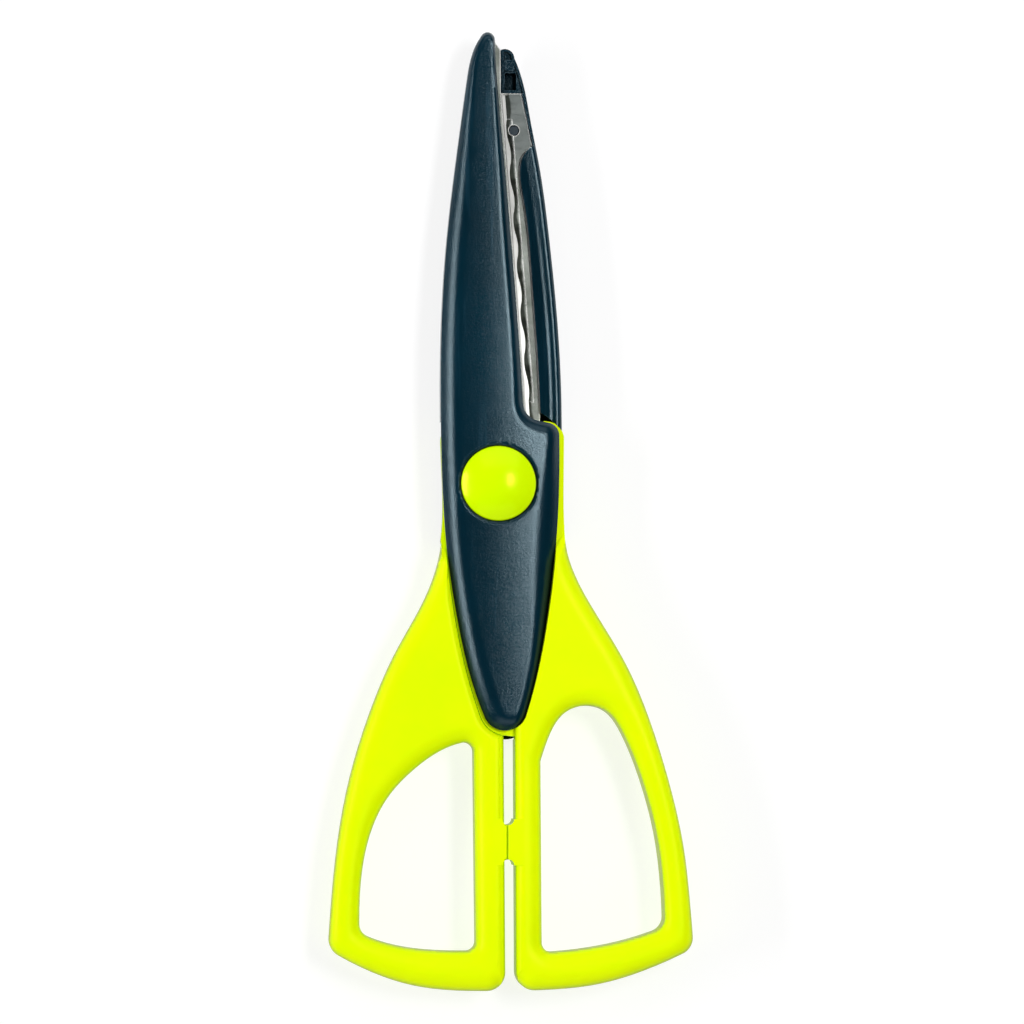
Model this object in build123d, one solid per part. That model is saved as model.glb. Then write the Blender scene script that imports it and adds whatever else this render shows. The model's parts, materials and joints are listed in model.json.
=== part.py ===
from build123d import *

import os

# Decorative edge scissors: two moulded levers with steel pattern blades that turn on one pivot.
#
# Frame: millimetres, +Z up. The closed scissors lie flat on the plane Z = 0, tips towards +Y and
# finger loops towards -Y. The Z axis is the pivot axis. The front lever (its blade shell on top at
# the left, its loop at the right) lies over the rear lever. The two meet in the shear plane, which
# is parallel to the table.
#
# Every lever piece is drawn in plan as seen from the front, with its heights measured outwards from
# the shear plane. on_front() and on_rear() then put it above or below that plane.

# ---------------------------------------------------------------- driving dimensions
SHEAR_Z = 5.6  # height of the shear plane above the table

BLADE_THICK = 1.6
BLADE_GAP = 0.06  # running gap between the two mating steel faces
NECK_GAP = 0.16  # running gap between the two plastic necks
NECK_TOP = 2.6  # outward height of the thin handle neck that carries the shell
HANDLE_TOP = 4.7  # outward height of the finger loops
SHELL_TOP = 5.5  # outward height of the shell's crown at the pivot
SHELL_TIP_TOP = 3.3  # the same at the tip
SHELL_TAIL_TOP = 5.1  # the same at the tail

LAP_RADIUS = 14.4  # inside this radius each lever keeps to its own side of the shear plane
LAP_CLEARANCE = 0.2
RIB_DROP = 1.0  # how far a shell's outer rib reaches past the shear plane
GROOVE_GAP = 0.25  # gap between one lever's neck and the other lever's handle

WAVE_PITCH = 8.0
WAVE_HEIGHT = 1.1  # crest to trough
WAVE_START = 15.6  # distance of the first wave from the pivot axis
WAVE_COUNT = 6
WAVE_MARGIN = 0.85  # how far the waved zone runs past the other blade's edge
GRIND_SLOPE = 2.0  # rise over run of the ground bevel at the cutting edge

BORE_R = 2.5
PIN_CLEARANCE = 0.05
CAP_R = 6.45
CAP_SEAT = 4.0  # outward height of the ledge that a pivot cap sits on
CAP_DOME = 1.9
CAP_GAP = 0.12  # ring gap around a pivot cap
CAP_RIM = 0.9
PLUG_R = 5.0
PLUG_WALL = 0.7
HEAD_R = 3.9
HEAD_THICK = 1.3
DRIVER_SLOT_WIDE = 1.0
DRIVER_SLOT_FLOOR = 0.6  # metal left under the driver slot
WASHER_THICK = 0.3
SPRING_THICK = 0.5
NUT_R = 3.9
NUT_THICK = 1.25
THREAD_R = 2.0

RIVET_R = 0.93
RIVET_DEPTH = 0.9  # how far a rivet reaches into the shell
FRONT_RIVET = (-3.1, 61.6)
FRONT_RIVET_SUNK = 0.6  # it ends below a wave crest of the rear blade
REAR_RIVET = (2.95, 61.6)
PEG_R = 1.3  # moulded pegs that hold a shell to its neck
PEG_DEPTH = 1.8
PEG_SPOTS = [(1.2, -19.0), (1.3, -32.0)]

BARE_START_Y = 59.0  # beyond this the shell's rim is low and the plate lies bare
END_START_Y = 68.0  # beyond this comes the moulded end
LOW_RIM = 0.3  # the shell's low rim stands this far past the shear plane
RIM_WALL = 0.45
END_FACE = 0.1  # outward height of the moulded end's face
END_CUT_X = 0.62  # the moulded end has no rim on the cutting side of this line
END_ROOT = 0.5  # how deep the ridge and the pad are rooted in the moulded end
POCKET_DEPTH = 1.4

STOP_X = 1.68  # where the closed levers' stop lugs meet
STOP_GAP = 0.06
STOP_TOP_Y = -58.55
STOP_LOW_Y = -64.45
FRONT_BAR_X = 2.72  # faces of the two bars on either side of the slot
REAR_BAR_X = 0.68
STOP_ROOT = 1.98  # how deep a lug is rooted in its bar

FRONT_FLANK_X = 11.42  # where each neck's flank shows beside the shells
REAR_FLANK_X = 11.1

LOOP_ROUND = 1.75
SHELL_ROUND = 0.9
CLEAR = 0.05  # moulding clearance around seated pieces

BLADE_FACE = BLADE_GAP / 2
BLADE_BACK = BLADE_FACE + BLADE_THICK
NECK_FACE = NECK_GAP / 2
DEEP = 12.0  # longer than any height in the scissors
WIDE = 30.0  # half-width of plan areas that reach past every side
BEYOND_TIPS = 112.0
SIN_45 = 0.5**0.5

# The closed pair is symmetrical about a plane that leans a little from the Y axis.
PAIR_PLANE = Plane(origin=(0.8, 0, 0), z_dir=(1, 0.0143, 0))

# Mean line of the front blade's cutting edge, in plan.
EDGE_HEEL = Vector(5.85, 9.5)
EDGE_TIP = Vector(1.4, 67.7)


# ---------------------------------------------------------------- placing and drawing helpers
def on_front(shape):
    return Pos(0, 0, SHEAR_Z) * shape


def on_rear(shape):
    return Pos(0, 0, SHEAR_Z) * mirror(shape, about=Plane.XY)


def slab(plan, low, high):
    """The plan area between two outward heights."""
    return extrude(Pos(0, 0, low) * plan, high - low, dir=(0, 0, 1))


def cut(body, low, high, *plans):
    """The body less each plan area between two outward heights."""
    for plan in plans:
        body -= slab(plan, low, high)
    return body


def area(*lines):
    """The plan area inside a closed chain of lines."""
    return make_face([edge for line in lines for edge in line.edges()])


def rounded(plan, corner, radius):
    """The plan area with the corner nearest to a point rounded."""
    return fillet(plan.vertices().sort_by_distance(corner)[0], radius)


def disc(radius):
    return make_face(Circle(radius).edge())


def oblong(left, low, right, high):
    """The plan rectangle between two corners."""
    return Pos((left + right) / 2, (low + high) / 2) * make_face(Rectangle(right - left, high - low).wire())


def rounded_box(x, y, width, height, radius):
    return Pos(x, y) * make_face(RectangleRounded(width, height, radius).wire())


def grown(plan, amount):
    """The plan area with a clearance all round it, redrawn with plain lines, arcs and splines."""
    outline = offset(plan, amount).face().outer_wire()
    edges = [edge for edge in outline.edges() if edge.length > CLEAR]
    lines = []
    for edge, following in zip(edges, edges[1:] + edges[:1]):
        start, end = edge @ 0, following @ 0
        if edge.geom_type == GeomType.LINE:
            lines.append(Line(start, end))
        elif edge.geom_type == GeomType.CIRCLE:
            lines.append(ThreePointArc(start, edge @ 0.5, end))
        else:
            count = 3 + int(edge.length / 4)
            stations = [edge @ (step / count) for step in range(1, count)]
            lines.append(Spline(start, *stations, end))
    return area(*lines)


# ---------------------------------------------------------------- plan areas
def front_shell_plan():
    """Long teardrop: straight towards the steel, bowed outside, stepped out around the pivot."""
    tip_outer, tip_inner = (-2.97, 77.5), (-0.52, 77.47)
    step, shoulder = (4.35, 11.3), (10.55, 10.3)
    tail_outer, tail_inner = (-2.4, -39.8), (4.75, -39.9)
    plan = area(
        ThreePointArc(tip_outer, (-1.75, 78.35), tip_inner),
        Spline(tip_inner, (-0.16, 69.9), (1.05, 56.1), (2.2, 42.3), (3.3, 28.5), step),
        Line(step, shoulder),
        Spline(shoulder, (10.5, -2.5), (9.8, -12.9), (8.5, -23.2), (6.5, -33.6), tail_inner),
        ThreePointArc(tail_inner, (1.25, -42.4), tail_outer),
        Spline(
            tail_outer, (-4.6, -33.6), (-7.0, -23.2), (-8.8, -11.2), (-9.6, 0.9),
            (-9.9, 14.7), (-9.7, 28.5), (-8.8, 42.3), (-7.2, 56.1), (-5.35, 69.9),
            (-3.85, 76.0), tip_outer,
        ),
    )
    plan = rounded(plan, step, 3.4)
    return rounded(plan, shoulder, 2.2)


def rear_shell_plan():
    """The rear shell's edge shows beyond the steel; the rest of it lies behind the front shell."""
    nose_outer, nose_inner = (3.0, 74.2), (0.1, 75.2)
    step, shoulder = (-3.1, 11.3), (-8.9, 10.3)
    tail_outer, tail_inner = (5.2, -40.7), (-1.9, -40.7)
    plan = area(
        ThreePointArc(nose_inner, (1.55, 75.75), nose_outer),
        Spline(
            nose_outer, (4.5, 69.9), (5.85, 63.0), (7.2, 56.1), (9.1, 42.3), (10.45, 28.5),
            (11.15, 14.7), (11.1, 0.9), (10.4, -11.2), (8.7, -23.2), (6.85, -34.0), tail_outer,
        ),
        ThreePointArc(tail_outer, (1.65, -43.9), tail_inner),
        Spline(tail_inner, (-4.4, -33.6), (-6.5, -23.2), (-8.1, -12.9), (-8.9, -2.5), shoulder),
        Line(shoulder, step),
        Spline(step, (-2.5, 28.5), (-1.8, 42.3), (-1.05, 56.1), (-0.5, 66.0), nose_inner),
    )
    plan = rounded(plan, step, 3.4)
    return rounded(plan, shoulder, 2.2)


def neck_outline(flank):
    """The front handle's thin part under the shell, with a rim showing around the shell's tail."""
    top_left, shoulder = (-9.2, 10.5), (flank, 10.45)
    tail_left, slot_corner = (-2.95, -39.9), (0.7, -43.15)
    outline = area(
        Polyline(top_left, (7.2, 10.5), (8.0, 10.9), shoulder),
        Spline(shoulder, (flank, 5.0), (flank - 0.07, -2.5), (11.6, -9.4)),
        Line((11.6, -9.4), (6.0, -38.0)),
        Line((6.0, -38.0), (2.8, -43.4)),
        Line((2.8, -43.4), slot_corner),
        ThreePointArc(slot_corner, (-1.45, -42.1), tail_left),
        Spline(tail_left, (-4.95, -33.6), (-7.25, -23.2), (-8.75, -11.2), (-9.25, 0.9), top_left),
    )
    return rounded(outline, shoulder, 3.0)


def front_neck_plan():
    return trimmed_neck(neck_outline(FRONT_FLANK_X))


def rear_neck_plan():
    return trimmed_neck(mirror(neck_outline(REAR_FLANK_X), about=PAIR_PLANE))


def trimmed_neck(outline):
    """A neck's end is round about the pivot, so that it turns past the other lever's shell."""
    return (outline & (disc(LAP_RADIUS) + oblong(-WIDE, -2 * WIDE, WIDE, -5))).face()


def right_loop_plan():
    inner_top, inner_foot = (FRONT_BAR_X, -7.0), (3.1, -86.9)
    outer_top, outer_foot = (11.5, -7.0), (33.7, -79.7)
    plan = area(
        Line(inner_top, outer_top),
        Spline(
            outer_top, (12.25, -12.8), (15.9, -20.6), (22.1, -31.0), (26.4, -41.3),
            (29.6, -51.7), (31.9, -62.0), (33.1, -72.4), outer_foot,
        ),
        Spline(outer_foot, (26.7, -82.9), (17.3, -85.8), (8.5, -86.75), inner_foot),
        Line(inner_foot, inner_top),
    )
    plan = rounded(plan, outer_foot, 3.0)
    return rounded(plan, inner_foot, 3.2)


def right_hole_plan():
    inner_foot, outer_foot = (7.55, -80.5), (28.7, -76.2)
    side = (7.33, -47.6)
    plan = area(
        Line(inner_foot, side),
        Spline(
            side, (9.1, -42.7), (11.6, -39.3), (15.1, -38.1), (18.5, -38.9), (21.5, -42.7),
            (24.7, -50.5), (27.3, -60.3), (28.4, -69.0), outer_foot,
        ),
        Spline(outer_foot, (23.2, -78.1), (17.6, -79.4), inner_foot),
    )
    plan = rounded(plan, outer_foot, 2.6)
    return rounded(plan, inner_foot, 1.8)


def left_loop_plan():
    inner_top, inner_foot = (REAR_BAR_X, -7.0), (1.3, -86.9)
    outer_top, outer_foot = (-9.4, -7.0), (-29.0, -79.8)
    plan = area(
        Line(outer_top, inner_top),
        Line(inner_top, inner_foot),
        Spline(inner_foot, (-5.0, -86.9), (-14.2, -86.0), (-24.1, -82.5), outer_foot),
        Spline(
            outer_foot, (-28.3, -69.8), (-27.1, -59.4), (-25.0, -49.1), (-21.7, -38.7),
            (-17.2, -28.4), (-12.9, -20.6), (-10.2, -13.5), outer_top,
        ),
    )
    plan = rounded(plan, outer_foot, 3.0)
    return rounded(plan, inner_foot, 3.2)


def left_hole_plan():
    top, inner_foot, outer_foot = (-4.15, -44.2), (-3.75, -80.2), (-23.7, -77.0)
    plan = area(
        Spline(
            top, (-7.9, -45.0), (-14.2, -48.9), (-19.1, -54.2), (-22.1, -60.8), (-23.5, -68.7),
            outer_foot,
        ),
        Spline(outer_foot, (-17.5, -79.2), (-9.2, -80.15), inner_foot),
        Line(inner_foot, top),
    )
    plan = rounded(plan, top, 1.6)
    plan = rounded(plan, outer_foot, 2.6)
    return rounded(plan, inner_foot, 1.6)


def stop_plan(face_x, bar_x, root_x):
    """A stop lug between the bars, with round inside corners where it leaves its bar."""
    reach = abs(bar_x - face_x)
    bend = reach * (1 - SIN_45)
    mid_x = face_x + (bar_x - face_x) * SIN_45
    top, low = STOP_TOP_Y + reach, STOP_LOW_Y - reach
    return area(
        Line((root_x, top), (bar_x, top)),
        ThreePointArc((bar_x, top), (mid_x, STOP_TOP_Y + bend), (face_x, STOP_TOP_Y)),
        Line((face_x, STOP_TOP_Y), (face_x, STOP_LOW_Y)),
        ThreePointArc((face_x, STOP_LOW_Y), (mid_x, STOP_LOW_Y - bend), (bar_x, low)),
        Line((bar_x, low), (root_x, low)),
        Line((root_x, low), (root_x, top)),
    )


def front_blade_plan():
    heel, tip = (6.8, 6.5), (2.4, 67.7)
    return area(
        Line(heel, tip),
        Polyline(tip, (0.55, 67.8), (0.5, 75.4), (-0.7, 77.05), (-1.6, 76.6)),
        Polyline((-1.6, 76.6), (-3.6, 69.0), (-4.5, 68.0), (-6.0, 58.5)),
        Spline((-6.0, 58.5), (-4.7, 57.2), (-4.1, 54.7), (-4.8, 49.2), (-5.9, 35.4), (-6.5, 12.0)),
        Polyline((-6.5, 12.0), (-6.3, 0.0)),
        ThreePointArc((-6.3, 0.0), (0.0, -6.6), (6.6, 0.0)),
        Line((6.6, 0.0), heel),
    )


def rear_blade_plan():
    """The rear plate is wide near its end, where the shell leaves it bare."""
    heel, tip = (-5.6, 6.5), (-2.5, 67.7)
    bare_top, bare_corner = (4.2, 68.05), (6.15, 58.8)
    return area(
        Line(heel, tip),
        Polyline(tip, (-0.95, 67.9), (-0.9, 74.2), (-0.1, 74.9), (0.45, 68.05), bare_top),
        Line(bare_top, bare_corner),
        Spline(
            bare_corner, (4.6, 57.3), (3.95, 54.7), (4.6, 49.2), (6.0, 35.4), (7.0, 21.6),
            (7.45, 12.0),
        ),
        Line((7.45, 12.0), (7.0, 0.0)),
        ThreePointArc((7.0, 0.0), (0.7, -6.6), (-5.6, 0.0)),
        Line((-5.6, 0.0), heel),
    )


def waved_zone_plan():
    """Strip in which the two mating faces are waved, from past one blade's edge to past the other's."""
    heel = EDGE_HEEL + Vector(WAVE_MARGIN, 0)
    tip = EDGE_TIP + Vector(WAVE_MARGIN, 0)
    inside_front_edge = area(Polyline(heel, tip, (-20, tip.Y), (-20, heel.Y), heel))
    return (inside_front_edge & mirror(inside_front_edge, about=PAIR_PLANE)).face()


# ---------------------------------------------------------------- shaping tools
def wave_tool(side):
    """Turned body that fills everything inside a blade's mating face.

    The waves are rings about the pivot axis, so the two faces stay nested at every opening.
    side is +1 for the front blade and -1 for the rear blade, whose waves answer the front's.
    """
    quarter = WAVE_PITCH / 4
    lines = []
    for half in range(2 * WAVE_COUNT):
        start = WAVE_START + half * 2 * quarter
        height = side * WAVE_HEIGHT / 2 * (1 if half % 2 else -1)
        crest = (start + quarter, BLADE_FACE + height)
        lines.append(ThreePointArc((start, BLADE_FACE), crest, (start + 2 * quarter, BLADE_FACE)))
    outer = WAVE_START + WAVE_COUNT * WAVE_PITCH
    far, floor = 90, -3
    lines.append(Polyline((outer, BLADE_FACE), (far, BLADE_FACE), (far, floor), (0, floor),
                          (0, BLADE_FACE), (WAVE_START, BLADE_FACE)))
    return revolve(Plane.XZ * area(*lines), Axis.Z)


def grind_tool():
    """Wedge that grinds the bevel along the front blade's cutting edge."""
    along = (EDGE_TIP - EDGE_HEEL).normalized()
    lead = 6
    high, low, wide = 2.4, -1.6, 4
    section_plane = Plane(origin=EDGE_HEEL - along * lead, x_dir=(along.Y, -along.X), z_dir=-along)
    lines = Polyline((-high / GRIND_SLOPE, high), (wide, high), (wide, low),
                     (-low / GRIND_SLOPE, low), (-high / GRIND_SLOPE, high))
    return extrude(section_plane * area(lines), -(EDGE_TIP - EDGE_HEEL).length - lead)


def crown_tool():
    """Body under a shell's outer face: crowned across, and falling away to the tip and the tail."""
    ridge = Spline((0, 80, SHELL_TIP_TOP), (0, 45, 4.75), (0, 12, SHELL_TOP), (0, -14, SHELL_TOP),
                   (0, -46, SHELL_TAIL_TOP))
    reach, fall = 16, 1.5
    start = ridge @ 0
    arch = area(
        ThreePointArc((-reach, start.Y, start.Z - fall), start, (reach, start.Y, start.Z - fall)),
        Polyline((reach, start.Y, start.Z - fall), (reach, start.Y, -DEEP),
                 (-reach, start.Y, -DEEP), (-reach, start.Y, start.Z - fall)),
    )
    return sweep(arch, path=ridge)


# ---------------------------------------------------------------- pieces of a lever
def handle(loop, hole, stop, own_neck, own_shell, own_blade, other_neck, other_shell):
    """Finger loop with a thin neck that reaches under the shell and round the pivot."""
    body = slab(loop - hole, -HANDLE_TOP, HANDLE_TOP)
    rims = body.edges().filter_by(lambda edge: abs(edge.center().Z) > HANDLE_TOP - CLEAR)
    body = fillet(rims, LOOP_ROUND)
    body += slab(stop, -HANDLE_TOP, HANDLE_TOP)
    body += slab(own_neck, NECK_FACE, NECK_TOP)
    other_lever = (grown(other_neck, GROOVE_GAP), grown(other_shell, GROOVE_GAP))
    body = cut(body, -DEEP, NECK_FACE, disc(LAP_RADIUS + LAP_CLEARANCE), *other_lever)
    body = cut(body, NECK_TOP, DEEP, disc(LAP_RADIUS - LAP_CLEARANCE), grown(own_shell, CLEAR))
    body = cut(body, -DEEP, BLADE_BACK, grown(own_blade, CLEAR))
    body = cut(body, -DEEP, DEEP, disc(BORE_R))
    peg_holes = [Pos(x, y) * disc(PEG_R + CLEAR) for x, y in PEG_SPOTS]
    return cut(body, NECK_TOP - PEG_DEPTH - CLEAR, DEEP, *peg_holes)


def shell(plan, blade, relief, rivet_spot):
    """Blade cover: crowned outside, resting on neck and plate, with a deep rib beside the plate."""
    body = slab(plan, -RIB_DROP, SHELL_TOP + 1) & crown_tool()
    rims = body.edges().filter_by(lambda edge: edge.bounding_box().min.Z > SHELL_TIP_TOP / 2)
    body = fillet(rims, SHELL_ROUND)
    blade_side = oblong(-WIDE, 8, WIDE, BEYOND_TIPS)
    low_part = (plan & blade_side) - disc(LAP_RADIUS + LAP_CLEARANCE)
    body = relief(body)
    body = cut(body, -DEEP, NECK_TOP, grown(plan, 1) - low_part)
    body = cut(body, -DEEP, BLADE_BACK, grown(blade, CLEAR))
    body = cut(body, CAP_SEAT, DEEP, disc(CAP_R + CAP_GAP))
    body = cut(body, 0, DEEP, disc(PLUG_R))
    body = cut(body, 0, BLADE_BACK + RIVET_DEPTH, Pos(*rivet_spot) * disc(RIVET_R))
    for x, y in PEG_SPOTS:
        body += slab(Pos(x, y) * disc(PEG_R), NECK_TOP - PEG_DEPTH, NECK_TOP + 0.5)
    return body


def rear_relief(body):
    """Low rim beside the bare plate, and the moulded end beyond it: ridge, pad and square pocket."""
    plan = rear_shell_plan()
    bare_zone = oblong(-WIDE, BARE_START_Y, WIDE, BEYOND_TIPS)
    end_zone = oblong(-WIDE, END_START_Y, WIDE, BEYOND_TIPS)
    cutting_side = oblong(-WIDE, BARE_START_Y, END_CUT_X, BEYOND_TIPS)
    body = cut(body, -DEEP, -LOW_RIM, bare_zone)
    body = cut(body, -DEEP, END_FACE, grown(plan, -RIM_WALL) & end_zone, cutting_side)
    ridge = area(Polyline((0.65, 75.3), (1.15, 75.4), (1.2, 71.9), (0.75, 71.4), (0.65, 75.3)))
    pad = rounded_box(2.1, 72.95, 1.75, 1.9, 0.35)
    pocket = rounded_box(2.32, 70.1, 2.0, 3.0, 0.25)
    body += slab(ridge & plan, -LOW_RIM, END_FACE + END_ROOT)
    body += slab(pad & plan, -LOW_RIM, END_FACE + END_ROOT)
    return body - slab(pocket, -DEEP, END_FACE + POCKET_DEPTH)


def front_relief(body):
    """The front shell's moulded end: the rear's, turned over and set nearer this longer tip."""
    turned = mirror(body, about=PAIR_PLANE)
    return mirror(rear_relief(turned), about=PAIR_PLANE)


def blade(plan, side, grind, rivet_spot):
    """Steel plate: waved mating face near the edge, flat elsewhere, ground bevel outside."""
    zone = waved_zone_plan()
    body = slab(plan, BLADE_FACE, BLADE_BACK) + slab(plan & zone, -WAVE_HEIGHT, BLADE_FACE)
    body -= wave_tool(side) & slab(zone, -3, BLADE_BACK)
    body -= grind
    return cut(body, -DEEP, DEEP, disc(BORE_R), Pos(*rivet_spot) * disc(RIVET_R))


def rivet(spot, sunk):
    """Headless pin through the plate into the shell."""
    pin = slab(Pos(*spot) * disc(RIVET_R), BLADE_FACE + sunk, BLADE_BACK + RIVET_DEPTH - CLEAR)
    return chamfer(pin.edges().sort_by(Axis.Z)[0], 0.15)


# ---------------------------------------------------------------- the pivot
def turned(*profile):
    """Body turned about the pivot axis from (radius, height) points."""
    return revolve(Plane.XZ * area(Polyline(*profile, profile[0])), Axis.Z)


def ring(inner, outer, low, high):
    return slab(disc(outer) - disc(inner), low, high)


def pivot_bolt():
    head_low = NECK_TOP + WASHER_THICK
    head = slab(disc(HEAD_R), head_low, head_low + HEAD_THICK)
    head = chamfer(head.edges().sort_by(Axis.Z)[-1], 0.3)
    slot_area = oblong(-WIDE, -DRIVER_SLOT_WIDE / 2, WIDE, DRIVER_SLOT_WIDE / 2)
    slot = slab(slot_area, head_low + DRIVER_SLOT_FLOOR, DEEP)
    shank = slab(disc(BORE_R - PIN_CLEARANCE), -NECK_TOP - SPRING_THICK, head_low)
    thread = slab(disc(THREAD_R), -NECK_TOP - SPRING_THICK - NUT_THICK, 0)
    return head - slot + shank + thread


def pivot_nut():
    low = NECK_TOP + SPRING_THICK
    nut = slab(make_face(RegularPolygon(NUT_R, 6).wire()) - disc(THREAD_R), low, low + NUT_THICK)
    return nut


def wave_washer():
    """Spring washer, drawn at its squeezed height."""
    return ring(BORE_R + PIN_CLEARANCE, HEAD_R, NECK_TOP + CLEAR, NECK_TOP + SPRING_THICK)


def head_washer():
    return ring(BORE_R + PIN_CLEARANCE, HEAD_R + 0.3, NECK_TOP, NECK_TOP + WASHER_THICK)


def cap_plug():
    """The cap's foot: a flat rim on the shell's ledge and a ring pressed into the shell's bore."""
    rim = ring(PLUG_R - PLUG_WALL, CAP_R, CAP_SEAT, CAP_SEAT + CAP_RIM)
    return rim + ring(PLUG_R - PLUG_WALL, PLUG_R, NECK_TOP + 0.2, CAP_SEAT)


def front_pivot_cap():
    """Domed button."""
    low, top = CAP_SEAT + CAP_RIM, SHELL_TOP + CAP_DOME
    edge = SHELL_TOP - 0.2
    rise = top - edge
    dome_r = (CAP_R**2 + rise**2) / (2 * rise)
    dome = slab(disc(CAP_R), low, DEEP) & Pos(0, 0, top - dome_r) * Sphere(dome_r)
    dome = fillet(dome.edges().filter_by(lambda rim: rim.center().Z > low + CLEAR), 0.5)
    return dome + cap_plug()


def rear_pivot_cap():
    """Flat button that the closed scissors rest on."""
    low, top, edge = CAP_SEAT + CAP_RIM, SHEAR_Z, 0.5
    face = turned((0, low), (CAP_R, low), (CAP_R, top - edge), (CAP_R - edge, top), (0, top))
    return face + cap_plug()


# ---------------------------------------------------------------- the assembly
def parts():
    front_shell_area, rear_shell_area = front_shell_plan(), rear_shell_plan()
    front_neck, rear_neck = front_neck_plan(), rear_neck_plan()
    front_plate, rear_plate = front_blade_plan(), rear_blade_plan()
    front_grind = grind_tool()
    rear_grind = mirror(front_grind, about=PAIR_PLANE)
    front_stop = stop_plan(STOP_X + STOP_GAP / 2, FRONT_BAR_X, FRONT_BAR_X + STOP_ROOT)
    rear_stop = stop_plan(STOP_X - STOP_GAP / 2, REAR_BAR_X, REAR_BAR_X - STOP_ROOT)
    return {
        "front_handle": on_front(handle(
            right_loop_plan(), right_hole_plan(), front_stop, front_neck, front_shell_area,
            front_plate, rear_neck, rear_shell_area)),
        "rear_handle": on_rear(handle(
            left_loop_plan(), left_hole_plan(), rear_stop, rear_neck, rear_shell_area,
            rear_plate, front_neck, front_shell_area)),
        "front_shell": on_front(shell(
            front_shell_area, front_plate, front_relief, FRONT_RIVET)),
        "rear_shell": on_rear(shell(rear_shell_area, rear_plate, rear_relief, REAR_RIVET)),
        "front_blade": on_front(blade(front_plate, 1, front_grind, FRONT_RIVET)),
        "rear_blade": on_rear(blade(rear_plate, -1, rear_grind, REAR_RIVET)),
        "front_blade_rivet": on_front(rivet(FRONT_RIVET, FRONT_RIVET_SUNK)),
        "rear_blade_rivet": on_rear(rivet(REAR_RIVET, CLEAR)),
        "pivot_bolt": on_front(pivot_bolt()),
        "pivot_nut": on_rear(pivot_nut()),
        "head_washer": on_front(head_washer()),
        "wave_washer": on_rear(wave_washer()),
        "front_pivot_cap": on_front(front_pivot_cap()),
        "rear_pivot_cap": on_rear(rear_pivot_cap()),
    }


if __name__ == "__main__":
    os.makedirs("parts", exist_ok=True)
    for node, shape in parts().items():
        export_step(shape, f"parts/{node}.step")
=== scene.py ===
"""Decorative edge scissors: looks, light and camera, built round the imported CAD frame.

Lengths are in metres.
"""

import json
import math

import bmesh
import bpy
import numpy as np
from mathutils import Matrix, Vector

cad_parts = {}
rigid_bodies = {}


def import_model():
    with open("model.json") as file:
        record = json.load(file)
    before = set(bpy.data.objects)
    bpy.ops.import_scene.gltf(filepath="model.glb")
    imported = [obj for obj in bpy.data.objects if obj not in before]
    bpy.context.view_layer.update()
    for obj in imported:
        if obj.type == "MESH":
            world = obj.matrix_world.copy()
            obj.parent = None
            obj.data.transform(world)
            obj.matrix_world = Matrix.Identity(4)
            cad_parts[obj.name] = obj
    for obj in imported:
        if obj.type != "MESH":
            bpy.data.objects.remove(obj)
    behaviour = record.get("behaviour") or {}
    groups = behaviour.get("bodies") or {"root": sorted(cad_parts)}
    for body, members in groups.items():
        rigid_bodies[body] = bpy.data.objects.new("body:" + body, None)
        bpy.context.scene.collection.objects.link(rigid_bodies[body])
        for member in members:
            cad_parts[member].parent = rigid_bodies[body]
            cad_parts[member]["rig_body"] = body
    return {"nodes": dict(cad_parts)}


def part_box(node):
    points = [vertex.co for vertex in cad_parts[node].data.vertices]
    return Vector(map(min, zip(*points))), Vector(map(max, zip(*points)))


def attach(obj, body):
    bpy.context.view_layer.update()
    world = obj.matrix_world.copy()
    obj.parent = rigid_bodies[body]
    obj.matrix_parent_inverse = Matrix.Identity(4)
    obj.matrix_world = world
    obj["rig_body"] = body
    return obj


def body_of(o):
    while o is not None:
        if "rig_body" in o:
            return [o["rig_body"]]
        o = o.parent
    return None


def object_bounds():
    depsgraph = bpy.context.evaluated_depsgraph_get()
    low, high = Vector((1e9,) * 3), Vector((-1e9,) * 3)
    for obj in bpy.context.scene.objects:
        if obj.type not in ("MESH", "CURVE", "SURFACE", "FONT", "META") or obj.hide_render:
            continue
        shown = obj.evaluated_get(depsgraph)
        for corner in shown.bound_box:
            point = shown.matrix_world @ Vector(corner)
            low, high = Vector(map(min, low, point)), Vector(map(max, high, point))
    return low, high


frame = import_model()
cad_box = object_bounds()

MM = 0.001

# Camera: nearly straight above the closed scissors, a little to the left and towards the finger loops.
VIEW_CENTRE = Vector((2.4 * MM, -4.85 * MM, 9 * MM))
VIEW_WIDTH = 176.1 * MM
VIEW_DISTANCE = 0.80
TILT_LEFT_DEG = 3.4
TILT_DOWN_DEG = 3.0
SENSOR_WIDTH = 36.0

FLOOR_SIZE = 6.0
FLOOR_GAP = 0.1 * MM  # the floor lies this far under the scissors

EDGE_HEEL = (5.85 * MM, 9.5 * MM)  # mean line of the front blade's cutting edge
EDGE_TIP = (1.4 * MM, 67.7 * MM)
WAVE_PITCH = 8 * MM
BEVEL_FACING = (0.89, 0.07, 0.45)  # outward direction of the front blade's ground bevel

# Moulded forms. Hidden blocks, each with one shaped face, are taken away from the plain CAD pieces.
BLOCK_TOP = 20 * MM  # a block reaches from its shaped face up to here, clear of every piece
BLOCK_MARGIN = 0.5 * MM  # how far a block reaches past its piece in plan
GRID_STEP = 0.33 * MM
CREASE_DEG = 32  # edges sharper than this stay crisp
PIVOT_REACH = 7 * MM  # outline points this near the pivot axis are the cap's seat

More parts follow.
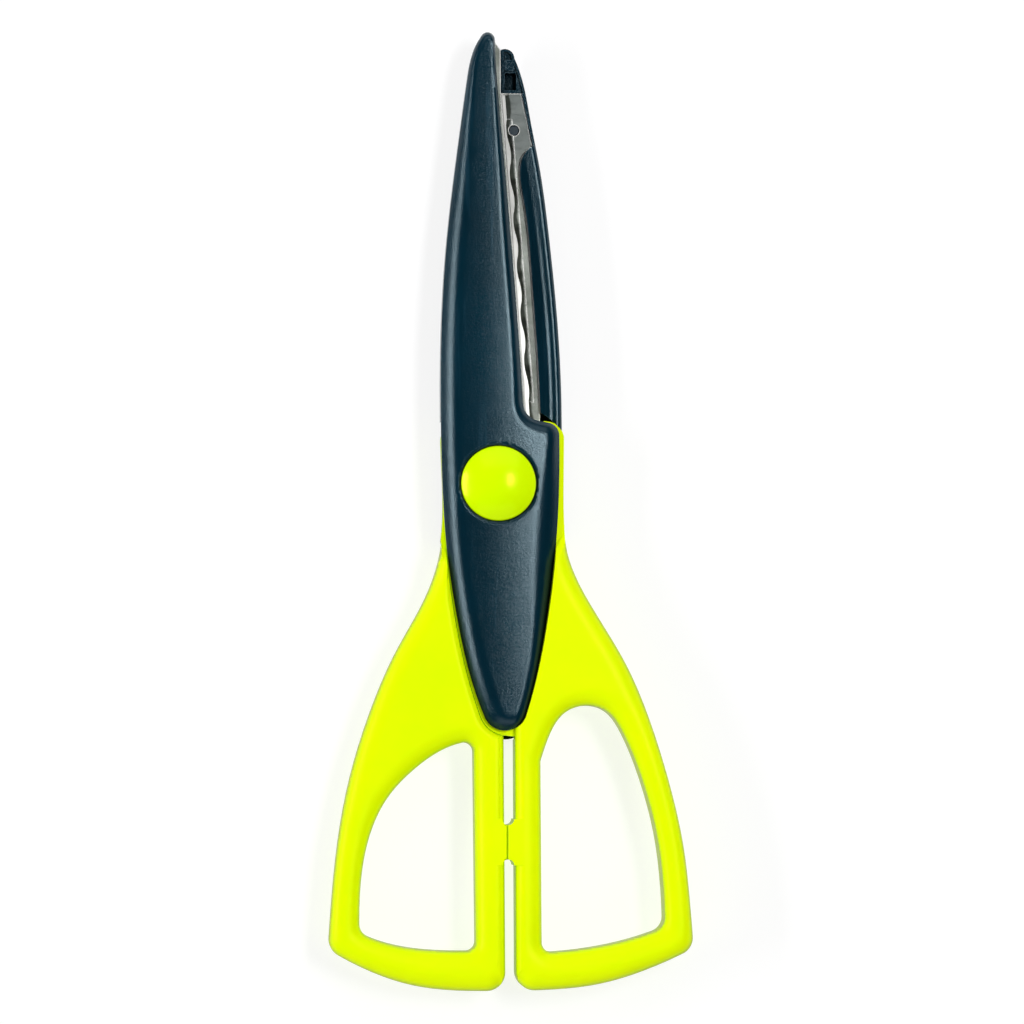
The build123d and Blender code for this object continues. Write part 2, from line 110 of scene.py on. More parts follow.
# The front shell's crown and rolled edge.
SHELL_LEVEL = 8.4 * MM  # height at which the front shell's outline is whole
CROWN_RADIUS = 62 * MM  # crown across the front shell
CROWN_LINE_X = -1.2 * MM
CROWN_LINE_RUN = 60 * MM  # the crown's line moves out to twice that x over this length
CROWN_SKIM = 0.05 * MM  # the finished crown lies this far inside the plain one
CROWN_DEGREE = 5
CROWN_STATIONS = 40  # places along the shell at which the plain crown is measured
CROWN_TAIL_GAP = 4 * MM  # how far the first and last stations are from the shell's ends
CROWN_TIP_GAP = 2.2 * MM
CROWN_PIVOT_GAP = 8 * MM  # no stations this near the pivot axis, where the cap's seat is
PROBE_X = -2.0 * MM
PROBE_Z = 50 * MM
EDGE_WIDTH = 3.6 * MM  # width of the shell's rolled edge on the outside
STEEL_EDGE_WIDTH = 1.75 * MM  # the same towards the steel
SIDE_CHANGE = 4 * MM  # breadth over which one side's width gives way to the other's
PIVOT_EDGE_EXTRA = 2.8 * MM  # how much wider the steel side rolls beside the button
PIVOT_EDGE_Y = -9 * MM
PIVOT_EDGE_SPREAD = 15 * MM
TAPER_END_Y = 79 * MM  # towards the tip the rolled edge narrows
TAPER_LENGTH = 44 * MM
EDGE_DROP = 1.6 * MM
EDGE_POWER = 2.2
EDGE_SMOOTHING = 8
BORE_EDGE_R = 6.57 * MM
BORE_EDGE_DROP = 0.30 * MM
BORE_EDGE_WIDTH = 0.35 * MM

# The rear shell's rib.
REAR_SHELL_LEVEL = 2.8 * MM  # height at which the rear shell's outline is whole
RIB_TOP = 6.6 * MM
RIB_SKIM = 0.03 * MM
RIB_START = (3.0 * MM, 8 * MM)
RIB_GRID_STEP = 0.2 * MM
RIB_EDGE_DROP = 0.7 * MM
RIB_EDGE_WIDTH = 0.9 * MM
RIDGE_HEIGHT = 0.03 * MM
RIDGE_PITCH = 1.15 * MM
RIDGE_START = 1.0 * MM  # the ridges' places are depths inside the outline
RIDGES_FROM, RIDGES_TO = 0.8 * MM, 2.7 * MM
RIDGE_WOBBLE = 0.2  # the ridges' height varies by this share, with two slow waves
RIDGE_WOBBLE_RUNS = (4.1 * MM, 9.7 * MM)
RIDGE_FADE_END_Y = 50 * MM
RIDGE_FADE_LENGTH = 20 * MM
RIB_FALL = 0.22  # slope towards the plate
RIB_FALL_START = 2.4 * MM

# The finger loops' upper side.
HANDLE_LEVEL = 8.45 * MM  # height at which the loops' outlines are whole
HANDLE_SKIM = 0.02 * MM
HANDLE_MARGIN = 0.4 * MM
HANDLE_END_Y = -6 * MM  # the loops' blocks end here, before the pivot
LOOP_ROLL = 3.3 * MM  # how far the loops' rounding reaches in from an edge
LOOP_DROP = 2.3 * MM
GROOVE_ROLL = 1.1 * MM  # rounding of the handle's edge beside the other lever's shell
GROOVE_DROP = 0.9 * MM
SEAT_ROLL = 0.25 * MM  # edges that only butt against another piece
BESIDE_SHELL = 1.7 * MM  # edges this near the front shell's outline are beside it
LAP_REACH = 14.75 * MM  # edges this near the pivot axis belong to the half-lap
LAP_EDGE = 14.2 * MM  # radius at which a loop starts to rise from its neck
NECK_LEVEL = 8.22 * MM  # just above the necks' top, so that no neck is cut
NECK_BLEND = 0.8  # slope with which a loop rises from its neck
SLOT_TOP_Y = -43 * MM
SLOT_MIDDLE_X = 1.85 * MM
SLOT_REACH = 1.5 * MM  # edges this near the slot's middle line are its two sides

NODE_FINISH = {
    "front_handle": "neon_handle",
    "rear_handle": "neon_handle",
    "front_shell": "navy_shell",
    "rear_shell": "navy_shell",
    "front_blade": "blade_steel",
    "rear_blade": "waved_steel",
    "front_blade_rivet": "navy_rivet",
    "rear_blade_rivet": "navy_rivet",
    "pivot_bolt": "pivot_steel",
    "pivot_nut": "pivot_steel",
    "head_washer": "white_nylon",
    "wave_washer": "spring_steel",
    "front_pivot_cap": "neon_cap",
    "rear_pivot_cap": "neon_cap",
}


def srgb(red, green, blue):
    """Turns a colour given as 0 to 255 display values into the linear colour that shaders take."""
    linear = []
    for value in (red, green, blue):
        share = value / 255
        linear.append(share / 12.92 if share <= 0.04045 else ((share + 0.055) / 1.055) ** 2.4)
    return (*linear, 1.0)


class Shader:
    """A material under construction: short calls that add and link nodes."""

    def __init__(self, name):
        self.material = bpy.data.materials.new(name)
        self.material.use_nodes = True
        self.tree = self.material.node_tree
        self.surface = self.tree.nodes["Principled BSDF"]
        coords = self.tree.nodes.new("ShaderNodeTexCoord")
        self.place = coords.outputs["Object"]

    def node(self, kind, **inputs):
        made = self.tree.nodes.new(kind)
        for key, value in inputs.items():
            self.feed(made.inputs[key.replace("_", " ")], value)
        return made

    def feed(self, socket, value):
        if isinstance(value, bpy.types.NodeSocket):
            self.tree.links.new(value, socket)
        else:
            socket.default_value = value

    def set(self, **inputs):
        for key, value in inputs.items():
            self.feed(self.surface.inputs[key.replace("_", " ")], value)

    def stretched(self, scale):
        return self.node("ShaderNodeMapping", Vector=self.place, Scale=scale).outputs["Vector"]

    def noise(self, scale, detail=3.0, roughness=0.55, where=None, distortion=0.0):
        made = self.node("ShaderNodeTexNoise", Vector=where or self.place, Scale=scale, Detail=detail,
                         Roughness=roughness, Distortion=distortion)
        return made.outputs["Fac"]

    def ramp(self, value, low, high, start, end):
        made = self.node("ShaderNodeMapRange", Value=value)
        made.inputs["From Min"].default_value = low
        made.inputs["From Max"].default_value = high
        made.inputs["To Min"].default_value = start
        made.inputs["To Max"].default_value = end
        return made.outputs["Result"]

    def mix(self, share, first, second):
        made = self.tree.nodes.new("ShaderNodeMix")
        made.data_type = "RGBA"
        self.feed(made.inputs["Factor"], share)
        self.feed(made.inputs["A"], first)
        self.feed(made.inputs["B"], second)
        return made.outputs["Result"]

    def math(self, operation, first, second=0.0):
        made = self.tree.nodes.new("ShaderNodeMath")
        made.operation = operation
        self.feed(made.inputs[0], first)
        self.feed(made.inputs[1], second)
        return made.outputs["Value"]

    def bump(self, height, strength, distance, normal=None):
        made = self.node("ShaderNodeBump", Height=height, Strength=strength, Distance=distance)
        if normal is not None:
            self.feed(made.inputs["Normal"], normal)
        return made.outputs["Normal"]

    def slope(self):
        """0 where a face looks at the viewer, 1 where it is seen edge-on."""
        return self.node("ShaderNodeLayerWeight", Blend=0.5).outputs["Facing"]

    def openness(self, distance):
        """1 on an open face, less in corners and narrow gaps."""
        return self.node("ShaderNodeAmbientOcclusion", Distance=distance).outputs["AO"]

    def edge(self, radius):
        """About 1 on a sharp edge within the radius and 0 on a smooth face."""
        bevel = self.node("ShaderNodeBevel", Radius=radius)
        geometry = self.tree.nodes.new("ShaderNodeNewGeometry")
        dot = self.tree.nodes.new("ShaderNodeVectorMath")
        dot.operation = "DOT_PRODUCT"
        self.feed(dot.inputs[0], bevel.outputs["Normal"])
        self.feed(dot.inputs[1], geometry.outputs["Normal"])
        return self.ramp(dot.outputs["Value"], 0.995, 0.9, 0.0, 1.0)


def neon_plastic(name, red, shine, roughness):
    """Glossy fluorescent moulded plastic, faintly mottled, with fine handling scuffs, painted olive shade
    on its flanks and a faint painted glow.
    """
    s = Shader(name)
    cloud = s.noise(55, detail=4)
    bright = s.mix(s.ramp(cloud, 0.3, 0.7, 0, 1), srgb(red - 5, 251, 0), srgb(red + 5, 255, 0))
    # Painted shade: faces seen edge-on are mixed towards dark olive.
    colour = s.mix(s.ramp(s.slope(), 0.30, 0.90, 0, 0.9), bright, srgb(120, 138, 0))
    scuff = s.noise(900, detail=6, roughness=0.7, where=s.stretched((1.0, 0.25, 1.0)))
    s.set(Base_Color=colour, Roughness=s.ramp(scuff, 0.35, 0.75, roughness, roughness + 0.1), IOR=1.5)
    s.set(Specular_IOR_Level=shine)
    s.set(Subsurface_Weight=0.10, Subsurface_Scale=0.002, Specular_Tint=srgb(255, 250, 90))
    # Painted glow: the plastic gives off a little light in its own colour, flank shade included.
    s.set(Emission_Color=colour, Emission_Strength=0.15)
    s.set(Normal=s.bump(s.noise(300, detail=2), 0.05, 0.0003))
    return s.material


def navy_plastic(name):
    """Satin glass-filled plastic: fine grain, long flow lines, pale rubbed edges, and painted shade that
    darkens colour and gloss in corners and narrow gaps.
    """
    s = Shader(name)
    grain = s.noise(2600, detail=4, roughness=0.75)
    flow = s.noise(420, detail=5, roughness=0.6, where=s.stretched((1.0, 0.06, 1.0)))
    cloud = s.noise(60, detail=4)
    base = s.mix(s.ramp(cloud, 0.3, 0.7, 0, 1), srgb(0, 32, 45), srgb(1, 40, 55))
    streaked = s.mix(s.ramp(flow, 0.58, 0.72, 0, 0.35), base, srgb(40, 78, 98))
    rubbed = s.math("MULTIPLY", s.edge(0.0003), s.ramp(s.noise(700, detail=5), 0.45, 0.7, 0.0, 0.5))
    worn = s.mix(rubbed, streaked, srgb(110, 140, 158))
    # Painted shade: corners and narrow gaps turn near-black and lose their gloss.
    unshaded_share = s.ramp(s.openness(2.5 * MM), 0.25, 0.85, 0.05, 1)
    s.set(Base_Color=s.mix(unshaded_share, srgb(0, 6, 8), worn), IOR=1.5)
    s.set(Specular_IOR_Level=s.math("MULTIPLY", unshaded_share, 0.5), Specular_Tint=srgb(214, 244, 255))
    s.set(Roughness=s.ramp(grain, 0.3, 0.7, 0.12, 0.24))
    lines = s.bump(flow, 0.10, 0.0002)
    s.set(Normal=s.bump(grain, 0.33, 0.00012, lines))
    return s.material


def blade_metal(name, waved_strip=False):
    """Sheet steel: cross-ground faces and soft stains; pale ground bevels and bright edges, partly their
    own finish and partly painted highlight; a painted glow on the bevels; on the rear plate, a painted
    shadow beside the front cutting edge.
    """
    s = Shader(name)
    brushed = s.noise(2200, detail=4, roughness=0.6, where=s.stretched((0.12, 1.0, 1.0)))
    stain = s.noise(170, detail=5, roughness=0.65)
    plate = s.mix(s.ramp(stain, 0.35, 0.65, 0, 1), srgb(156, 160, 154), srgb(106, 111, 104))
    split = s.node("ShaderNodeSeparateXYZ", Vector=s.place)
    if waved_strip:
        plate = s.mix(s.ramp(split.outputs["Y"], 53 * MM, 59 * MM, 0, 0.6), plate, srgb(92, 100, 102))
        # Painted shadow: a dark wavy band on the rear plate beside the front cutting edge.
        plate = s.mix(painted_edge_shadow(s), plate, srgb(40, 44, 38))
    geometry = s.tree.nodes.new("ShaderNodeNewGeometry")
    facing = s.tree.nodes.new("ShaderNodeVectorMath")
    facing.operation = "DOT_PRODUCT"
    s.feed(facing.inputs[0], geometry.outputs["Normal"])
    s.feed(facing.inputs[1], BEVEL_FACING)
    # Pale ground bevel faces, partly their own finish and partly painted highlight; on the front blade only
    # about the last half millimetre before the cutting edge line is fully pale.
    bevel = s.ramp(facing.outputs["Value"], 0.86, 0.93, 0, 1)
    if not waved_strip:
        bevel = s.math("MULTIPLY", bevel, s.ramp(beyond_edge(s), -0.66 * MM, -0.50 * MM, 0.45, 1))
    # Bright edges, partly wear and partly painted highlight.
    pale = s.math("MAXIMUM", bevel, s.edge(0.00035))
    s.set(Base_Color=s.mix(pale, plate, srgb(252, 252, 248)), Metallic=s.ramp(pale, 0, 1, 1.0, 0.25))
    s.set(Roughness=s.ramp(brushed, 0.3, 0.7, 0.30, 0.46))
    # Painted reflection: the bevel glows, stronger towards the pivot and unevenly, standing for light it
    # reflects.
    glow = s.math("MULTIPLY", bevel, s.ramp(split.outputs["Y"], 22 * MM, 48 * MM, 1.1, 0.25))
    uneven = s.ramp(stain, 0.3, 0.6, 0.5, 1)
    s.set(Emission_Color=srgb(255, 255, 250), Emission_Strength=s.math("MULTIPLY", glow, uneven))
    s.set(Normal=s.bump(brushed, 0.08, 0.00005))
    return s.material


def beyond_edge(s):
    """Distance in x past the front blade's cutting edge."""
    split = s.node("ShaderNodeSeparateXYZ", Vector=s.place)
    run = (EDGE_TIP[0] - EDGE_HEEL[0]) / (EDGE_TIP[1] - EDGE_HEEL[1])
    line = s.math("MULTIPLY_ADD", s.math("SUBTRACT", split.outputs["Y"], EDGE_HEEL[1]), run)
    line.node.inputs[2].default_value = EDGE_HEEL[0]
    return s.math("SUBTRACT", split.outputs["X"], line)


def painted_edge_shadow(s):
    """1 over a wavy-edged strip of the rear plate beside the front cutting edge, where a dark shadow is
    painted.
    """
    split = s.node("ShaderNodeSeparateXYZ", Vector=s.place)
    ripple = s.math("SINE", s.math("MULTIPLY", split.outputs["Y"], 2 * math.pi / WAVE_PITCH))
    wander = s.math("MULTIPLY", s.math("SUBTRACT", s.noise(380, detail=3), 0.5), 0.7 * MM)
    reach = s.math("ADD", s.math("MULTIPLY", ripple, 0.16 * MM), wander)
    past = s.math("SUBTRACT", beyond_edge(s), reach)
    outer_end = s.ramp(past, 0.50 * MM, 0.78 * MM, 0.9, 0)
    return s.math("MULTIPLY", outer_end, s.ramp(past, -1.6 * MM, -0.6 * MM, 0, 1))


def plain_metal(name, colour, roughness):
    """Plated or drawn metal with turning marks and small pits."""
    s = Shader(name)
    marks = s.noise(1800, detail=5, roughness=0.7)
    shade = s.mix(s.ramp(marks, 0.35, 0.7, 0, 0.3), colour, srgb(90, 88, 82))
    s.set(Base_Color=shade, Metallic=1.0, Roughness=s.ramp(marks, 0.3, 0.7, roughness, roughness + 0.15))
    s.set(Normal=s.bump(marks, 0.15, 0.00006))
    return s.material


def nylon(name):
    """Milky translucent nylon."""
    s = Shader(name)
    cloud = s.noise(300, detail=4)
    s.set(Base_Color=s.mix(cloud, srgb(226, 224, 214), srgb(240, 239, 232)), Roughness=0.42)
    s.set(Subsurface_Weight=0.3, Subsurface_Scale=0.001, Normal=s.bump(cloud, 0.1, 0.0001))
    return s.material


def outline_at(node, height):
    """Segments, as (n, 2, 2) plan points, where a level plane cuts a node."""
    mesh = bmesh.new()
    mesh.from_mesh(node.data)
    bmesh.ops.remove_doubles(mesh, verts=mesh.verts, dist=1e-7)
    everything = mesh.verts[:] + mesh.edges[:] + mesh.faces[:]
    found = bmesh.ops.bisect_plane(mesh, geom=everything, plane_co=(0, 0, height), plane_no=(0, 0, 1))
    edges = [part for part in found["geom_cut"] if isinstance(part, bmesh.types.BMEdge)]
    segments = np.array([[edge.verts[0].co[:2], edge.verts[1].co[:2]] for edge in edges])
    mesh.free()
    return segments


def distances(segments, x, y):
    """Plan distance from each point to the nearest of some segments."""
    nearest = np.full(x.shape, 1e9)
    for (ax, ay), (bx, by) in segments:
        dx, dy = bx - ax, by - ay
        share = np.clip(((x - ax) * dx + (y - ay) * dy) / max(dx * dx + dy * dy, 1e-16), 0, 1)
        nearest = np.minimum(nearest, np.hypot(x - ax - share * dx, y - ay - share * dy))
    return nearest


def depth_inside(segments, x, y):
    """Signed plan distance from an outline at each point, positive inside it."""
    nearest = distances(segments, x, y)
    crossings = np.zeros(x.shape, int)
    for (ax, ay), (bx, by) in segments:
        dx, dy = bx - ax, by - ay
        spans = (ay > y) != (by > y)
        crossings += spans & (x < ax + (y - ay) * dx / (dy if dy else 1e-16))
    return np.where(crossings % 2 == 1, nearest, -nearest)


def smoothed(field, rounds=2):
    """A gridded field with its creases softened."""
    for _ in range(rounds):
        for axis in (0, 1):
            padded = np.pad(field, [(1, 1) if axis == side else (0, 0) for side in (0, 1)], mode="edge")
            before, after = np.delete(padded, [-1, -2], axis), np.delete(padded, [0, 1], axis)
            field = (before + 2 * field + after) / 4
    return field


def height_block(name, low_corner, high_corner, height, step):
    """Hidden closed block from the surface height(x, y) over a rectangle up to BLOCK_TOP."""
    nx = int((high_corner[0] - low_corner[0]) / step) + 2
    ny = int((high_corner[1] - low_corner[1]) / step) + 2
    x, y = np.meshgrid(np.linspace(low_corner[0], high_corner[0], nx),
                       np.linspace(low_corner[1], high_corner[1], ny), indexing="ij")
    z = height(x, y)
    count = nx * ny
    near = np.stack([x, y, z], -1).reshape(-1, 3)
    far = np.stack([x, y, np.full_like(z, BLOCK_TOP)], -1).reshape(-1, 3)
    index = np.arange(count).reshape(nx, ny)
    a, b, c, d = index[:-1, :-1], index[1:, :-1], index[1:, 1:], index[:-1, 1:]
    quads = np.stack([a, b, c, d], -1).reshape(-1, 4)
    rim = np.concatenate([index[:, 0], index[-1, 1:], index[-2::-1, -1], index[0, -2:0:-1]])
    following = np.roll(rim, -1)
    walls = np.stack([rim, rim + count, following + count, following], -1)
    faces = np.concatenate([quads, quads[:, ::-1] + count, walls])
    mesh = bpy.data.meshes.new(name)
    mesh.from_pydata(np.concatenate([near, far]).tolist(), [], faces.tolist())
    block = bpy.data.objects.new(name, mesh)
    bpy.context.scene.collection.objects.link(block)
    tidy = bmesh.new()
    tidy.from_mesh(mesh)
    bmesh.ops.recalc_face_normals(tidy, faces=tidy.faces)
    tidy.to_mesh(mesh)
    tidy.free()
    for face in mesh.polygons:
        face.use_smooth = True
    block.hide_render = True
    block.hide_viewport = True
    return block


def carve(node, block):
    """Takes the block away from the node, with whose body it moves. Only gentle edges stay smooth."""
    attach(block, body_of(node)[0])
    weld = node.modifiers.new("weld", "WELD")
    weld.merge_threshold = 1e-6
    cutter = node.modifiers.new("carve", "BOOLEAN")
    cutter.operation = "DIFFERENCE"
    cutter.solver = "EXACT"
    cutter.object = block
    crease = node.modifiers.new("crease", "EDGE_SPLIT")
    crease.split_angle = math.radians(CREASE_DEG)


def crown_height(node):
    """Height of a shell's crown along its length, as a smooth curve through the plain model."""
    low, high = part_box(node.name)
    stations, tops = [], []
    for y in np.linspace(low.y + CROWN_TAIL_GAP, high.y - CROWN_TIP_GAP, CROWN_STATIONS):
        if abs(y) < CROWN_PIVOT_GAP:
            continue
        _, place, _, _ = node.ray_cast((PROBE_X, y, PROBE_Z), (0, 0, -1))
        stations.append(y)
        tops.append(place.z)
    return np.poly1d(np.polyfit(stations, tops, CROWN_DEGREE))


def middle_line(segments, y):
    """x half way across an outline at each y."""
    points = segments.reshape(-1, 2)
    stations = np.linspace(points[:, 1].min() + 1 * MM, points[:, 1].max() - 1 * MM, 40)
    middles = []
    for station in stations:
        crossing = segments[(segments[:, 0, 1] > station) != (segments[:, 1, 1] > station)]
        middles.append((crossing[:, :, 0].min() + crossing[:, :, 0].max()) / 2)
    return np.interp(y, stations, middles)


def roll_shell_edges():
    """The front shell's crown and its rolled edge, which narrows towards the steel and the tip."""
    node = frame["nodes"]["front_shell"]
    segments = outline_at(node, SHELL_LEVEL)
    middle = segments.mean(axis=1)
    segments = segments[np.hypot(middle[:, 0], middle[:, 1]) > PIVOT_REACH]
    ridge = crown_height(node)

    def height(x, y):
        depth = smoothed(depth_inside(segments, x, y), rounds=EDGE_SMOOTHING)
        steel_side = np.clip((x - middle_line(segments, y)) / SIDE_CHANGE + 0.5, 0, 1)
        beside_pivot = np.exp(-(((y - PIVOT_EDGE_Y) / PIVOT_EDGE_SPREAD) ** 2))
        steel_width = STEEL_EDGE_WIDTH + PIVOT_EDGE_EXTRA * beside_pivot
        width = EDGE_WIDTH + (steel_width - EDGE_WIDTH) * steel_side
        width = width * np.clip((TAPER_END_Y - y) / TAPER_LENGTH + 0.22, 0.25, 1)
        share = np.clip(depth / width, -1.0, 1)
        crown_x = CROWN_LINE_X * np.clip(1 + y / CROWN_LINE_RUN, 1, 2)
        across = (x - crown_x) ** 2 / (2 * CROWN_RADIUS)
        drop = EDGE_DROP * np.clip(width / EDGE_WIDTH + 0.25, 0.3, 1.05)
        from_bore = (np.hypot(x, y) - BORE_EDGE_R) / BORE_EDGE_WIDTH
        bore = BORE_EDGE_DROP * np.clip(1 - from_bore, 0, 1.2) ** 2
        return ridge(y) - CROWN_SKIM - across - bore - drop * (1 - share) ** EDGE_POWER

    low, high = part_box("front_shell")
    start = (low.x - BLOCK_MARGIN, low.y - BLOCK_MARGIN)
    end = (high.x + BLOCK_MARGIN, high.y + BLOCK_MARGIN)
    carve(node, height_block("shell_crown", start, end, height, GRID_STEP))


def quarter_round(share):
    """Fall of an elliptical edge: 1 at and past the edge, 0 where the share of its width reaches 1."""
    across = np.clip(1 - share, 0, 1.25)
    steep = np.minimum(across, 0.96)
    return 1 - np.sqrt(1 - steep**2) + 3.4 * (across - steep)


def split_handle_outline(segments, seam):
    """A handle's outline as three sets of segments: outside and hole edges, groove edges, butting edges."""
    middle = segments.mean(axis=1)
    near_shell = distances(seam, middle[:, 0], middle[:, 1]) < BESIDE_SHELL
    lap = np.hypot(middle[:, 0], middle[:, 1]) < LAP_REACH
    slot = (middle[:, 1] < SLOT_TOP_Y) & (abs(middle[:, 0] - SLOT_MIDDLE_X) < SLOT_REACH)
    butting = lap | slot
    groove = near_shell & ~butting
    return segments[~groove & ~butting], segments[groove], segments[butting]


def closed_outlines(segments):
    """Joins segments end to end into separate closed outlines."""
    remaining = set(range(len(segments)))
    ends = {}
    for index, (start, end) in enumerate(np.round(segments, 7)):
        ends.setdefault(tuple(start), []).append(index)
        ends.setdefault(tuple(end), []).append(index)
    loops = []
    while remaining:
        stack = [remaining.pop()]
        group = []
        while stack:
            index = stack.pop()
            group.append(index)
            for point in np.round(segments[index], 7):
                for other in ends[tuple(point)]:
                    if other in remaining:
                        remaining.discard(other)
                        stack.append(other)
        loops.append(segments[group])
    return sorted(loops, key=len, reverse=True)


def round_handle(name, groove_roll, groove_drop):
    """Rolls the upper side of a finger loop's bars over to an almost round section."""
    node = frame["nodes"][name]
    low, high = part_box(name)
    segments = outline_at(node, HANDLE_LEVEL)
    seam = outline_at(frame["nodes"]["front_shell"], SHELL_LEVEL)
    outlines = closed_outlines(segments)
    top = high.z - HANDLE_SKIM
    free_parts, groove_parts, butting_parts = zip(*(split_handle_outline(part, seam) for part in outlines))
    groove = np.concatenate(groove_parts)
    fixed = np.concatenate([groove, *butting_parts])

    def height(x, y):
        inside = depth_inside(segments, x, y) > 0
        free = np.sort(np.stack([distances(part, x, y) for part in free_parts if len(part)]), axis=0)
        half_width = (free[0] + free[1]) / 2
        reach = np.minimum(LOOP_ROLL, half_width)
        beyond = ~inside & (free[0] < distances(fixed, x, y))
        share = np.where(beyond, -free[0], free[0]) / reach
        total = LOOP_DROP * np.clip(reach / LOOP_ROLL + 0.1, 0, 1) * quarter_round(smoothed(share))
        if len(groove):
            share = np.where(inside, distances(groove, x, y), 0) / groove_roll
            total = np.maximum(total, groove_drop * quarter_round(share))
        leeway = NECK_BLEND * np.clip(np.hypot(x, y) - LAP_EDGE, 0, None)
        return np.clip(top - total, NECK_LEVEL - leeway, NECK_LEVEL + leeway)

    start = (low.x - HANDLE_MARGIN, low.y - HANDLE_MARGIN)
    end = (high.x + HANDLE_MARGIN, HANDLE_END_Y)
    carve(node, height_block(name + "_above", start, end, height, GRID_STEP))


def shape_rear_rib():
    """The rear shell's rib: a rounded outer edge, two soft ridges and a fall towards the plate."""
    node = frame["nodes"]["rear_shell"]
    segments = outline_at(node, REAR_SHELL_LEVEL)
    middle = segments.mean(axis=1)
    segments = segments[np.hypot(middle[:, 0], middle[:, 1]) > PIVOT_REACH]

    def height(x, y):
        depth = smoothed(depth_inside(segments, x, y))
        outer = RIB_EDGE_DROP * np.clip(1 - depth / RIB_EDGE_WIDTH, 0, 1.6) ** 2
        wobble = 1 + RIDGE_WOBBLE * np.sin(y / RIDGE_WOBBLE_RUNS[0]) * np.sin(y / RIDGE_WOBBLE_RUNS[1] + 1)
        phase = 2 * np.pi * (depth - RIDGE_START) / RIDGE_PITCH
        ridges = RIDGE_HEIGHT * wobble * (1 - np.cos(phase))
        ridges = np.where((depth > RIDGES_FROM) & (depth < RIDGES_TO), ridges, 0)
        ridges = ridges * np.clip((RIDGE_FADE_END_Y - y) / RIDGE_FADE_LENGTH, 0, 1)
        inner = RIB_FALL * np.clip(depth - RIB_FALL_START, 0, None)
        return RIB_TOP - RIB_SKIM - outer - ridges - inner

    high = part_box("rear_shell")[1]
    end = (high.x + BLOCK_MARGIN, high.y + BLOCK_MARGIN)
    carve(node, height_block("rib_form", RIB_START, end, height, RIB_GRID_STEP))


def make_materials():
    """One material for each finish in NODE_FINISH."""
    return {
        "neon_handle": neon_plastic("neon_handle", red=227, shine=0.28, roughness=0.34),
        "neon_cap": neon_plastic("neon_cap", red=213, shine=0.45, roughness=0.17),
        "navy_shell": navy_plastic("navy_shell"),
        "navy_rivet": plain_metal("navy_rivet", srgb(52, 62, 70), 0.35),
        "blade_steel": blade_metal("blade_steel"),
        "waved_steel": blade_metal("waved_steel", waved_strip=True),
        "pivot_steel": plain_metal("pivot_steel", srgb(200, 196, 186), 0.25),
        "spring_steel": plain_metal("spring_steel", srgb(150, 148, 142), 0.22),
        "white_nylon": nylon("white_nylon"),
    }


def dress_nodes(materials):
    """Gives every CAD node its finish."""
    for name, node in frame["nodes"].items():
        finish = NODE_FINISH[name]
        node.data.materials.clear()
        node.data.materials.append(materials[finish])


def add_floor():
    """A plain pale table top under the scissors."""
    bpy.ops.mesh.primitive_plane_add(size=FLOOR_SIZE, location=(0, 0, cad_box[0].z - FLOOR_GAP))
    floor = bpy.context.object
    floor.name = "floor"
    s = Shader("floor_paper")
    s.set(Base_Color=srgb(135, 135, 135), Roughness=0.9, Specular_IOR_Level=0.1)
    s.set(Emission_Color=srgb(255, 255, 255), Emission_Strength=0.80)
    floor.data.materials.append(s.material)


def add_light(name, lean_right_deg, lean_up_deg, distance, size, floor_share):
    """A soft box aimed at the scissors. floor_share is how much of the floor's brightness it gives."""
    toward = Vector((math.tan(math.radians(lean_right_deg)), math.tan(math.radians(lean_up_deg)), 1.0))
    toward.normalize()
    light = bpy.data.lights.new(name, "AREA")
    light.shape = "RECTANGLE"
    light.size, light.size_y = size
    light.energy = floor_share * math.pi**2 * distance**2 / toward.z
    right = Vector((0, 1, 0)).cross(toward).normalized()
    turn = Matrix((right, toward.cross(right), toward)).transposed()
    lamp = bpy.data.objects.new(name, light)
    lamp.matrix_world = Matrix.Translation(VIEW_CENTRE + toward * distance) @ turn.to_4x4()
    bpy.context.scene.collection.objects.link(lamp)


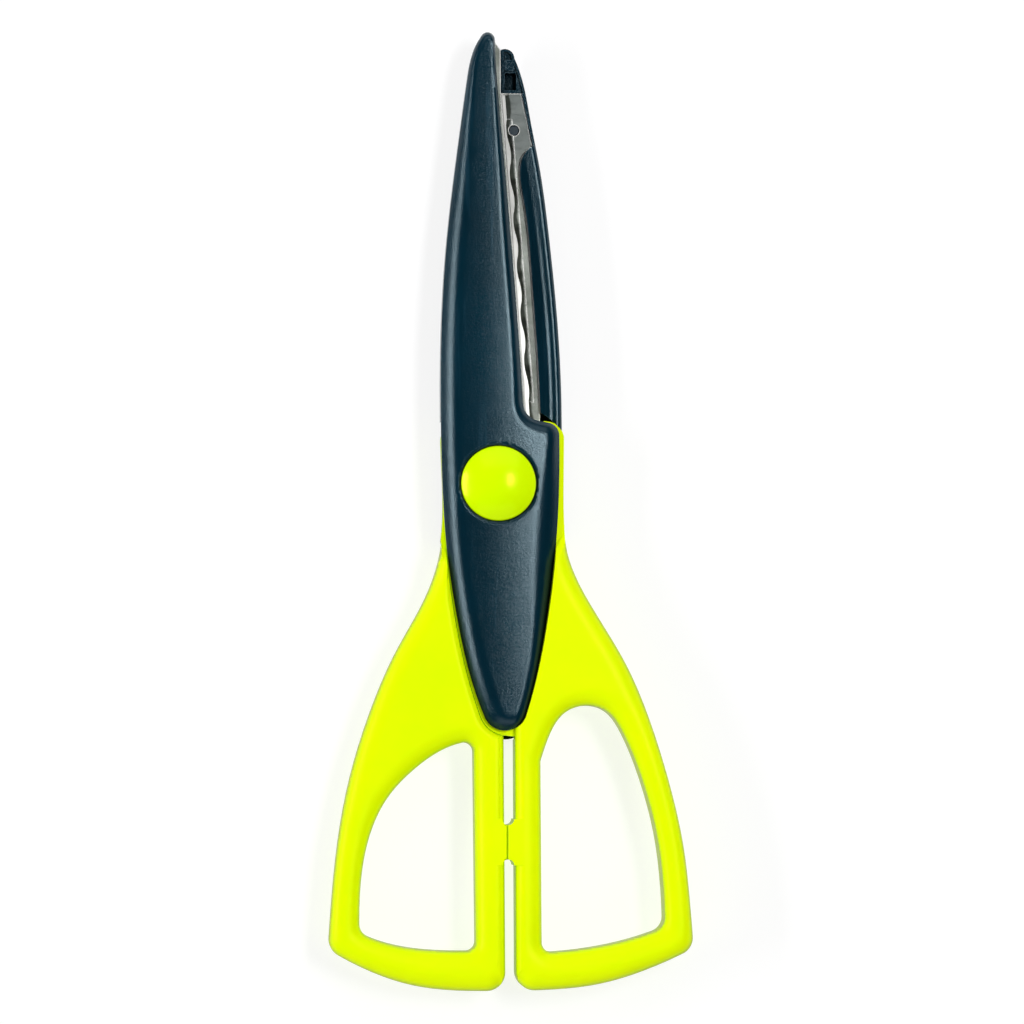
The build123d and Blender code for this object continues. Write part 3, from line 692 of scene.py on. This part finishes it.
def add_lights():
    """A key light from the right, a strip from the left and two broad fills."""
    add_light("right_light", 24, 10, 0.95, (0.16, 0.34), 0.44)
    add_light("left_light", -62, 4, 0.95, (0.09, 0.60), 0.24)
    add_light("far_light", 8, 52, 1.3, (1.6, 0.8), 0.18)
    add_light("near_light", -5, -55, 1.3, (1.6, 0.8), 0.12)


def light_world():
    """A dim room: grey overhead, dark towards the horizon."""
    world = bpy.data.worlds.new("studio")
    world.use_nodes = True
    tree = world.node_tree
    background = tree.nodes["Background"]
    coords = tree.nodes.new("ShaderNodeTexCoord")
    split = tree.nodes.new("ShaderNodeSeparateXYZ")
    tree.links.new(coords.outputs["Generated"], split.inputs["Vector"])
    ramp = tree.nodes.new("ShaderNodeMapRange")
    ramp.inputs["From Min"].default_value = 0.25
    ramp.inputs["From Max"].default_value = 1.0
    ramp.inputs["To Min"].default_value = 0.02
    ramp.inputs["To Max"].default_value = 0.06
    tree.links.new(split.outputs["Z"], ramp.inputs["Value"])
    tree.links.new(ramp.outputs["Result"], background.inputs["Strength"])
    background.inputs["Color"].default_value = srgb(240, 246, 255)
    bpy.context.scene.world = world


def add_camera():
    """The camera looks along a slightly tilted line, with +Y up in the picture."""
    data = bpy.data.cameras.new("camera")
    data.sensor_width = SENSOR_WIDTH
    data.lens = VIEW_DISTANCE * SENSOR_WIDTH / VIEW_WIDTH
    camera = bpy.data.objects.new("camera", data)
    lean = Vector((-math.tan(math.radians(TILT_LEFT_DEG)), -math.tan(math.radians(TILT_DOWN_DEG)), 1.0))
    back = lean.normalized()
    right = Vector((0, 1, 0)).cross(back).normalized()
    turn = Matrix((right, back.cross(right), back)).transposed()
    camera.matrix_world = Matrix.Translation(VIEW_CENTRE + back * VIEW_DISTANCE) @ turn.to_4x4()
    bpy.context.scene.collection.objects.link(camera)
    bpy.context.scene.camera = camera


dress_nodes(make_materials())
roll_shell_edges()
shape_rear_rib()
round_handle("rear_handle", GROOVE_ROLL, GROOVE_DROP)
round_handle("front_handle", SEAT_ROLL, SEAT_ROLL)
add_floor()
add_lights()
light_world()
add_camera()
bpy.context.scene.view_settings.view_transform = "Standard"
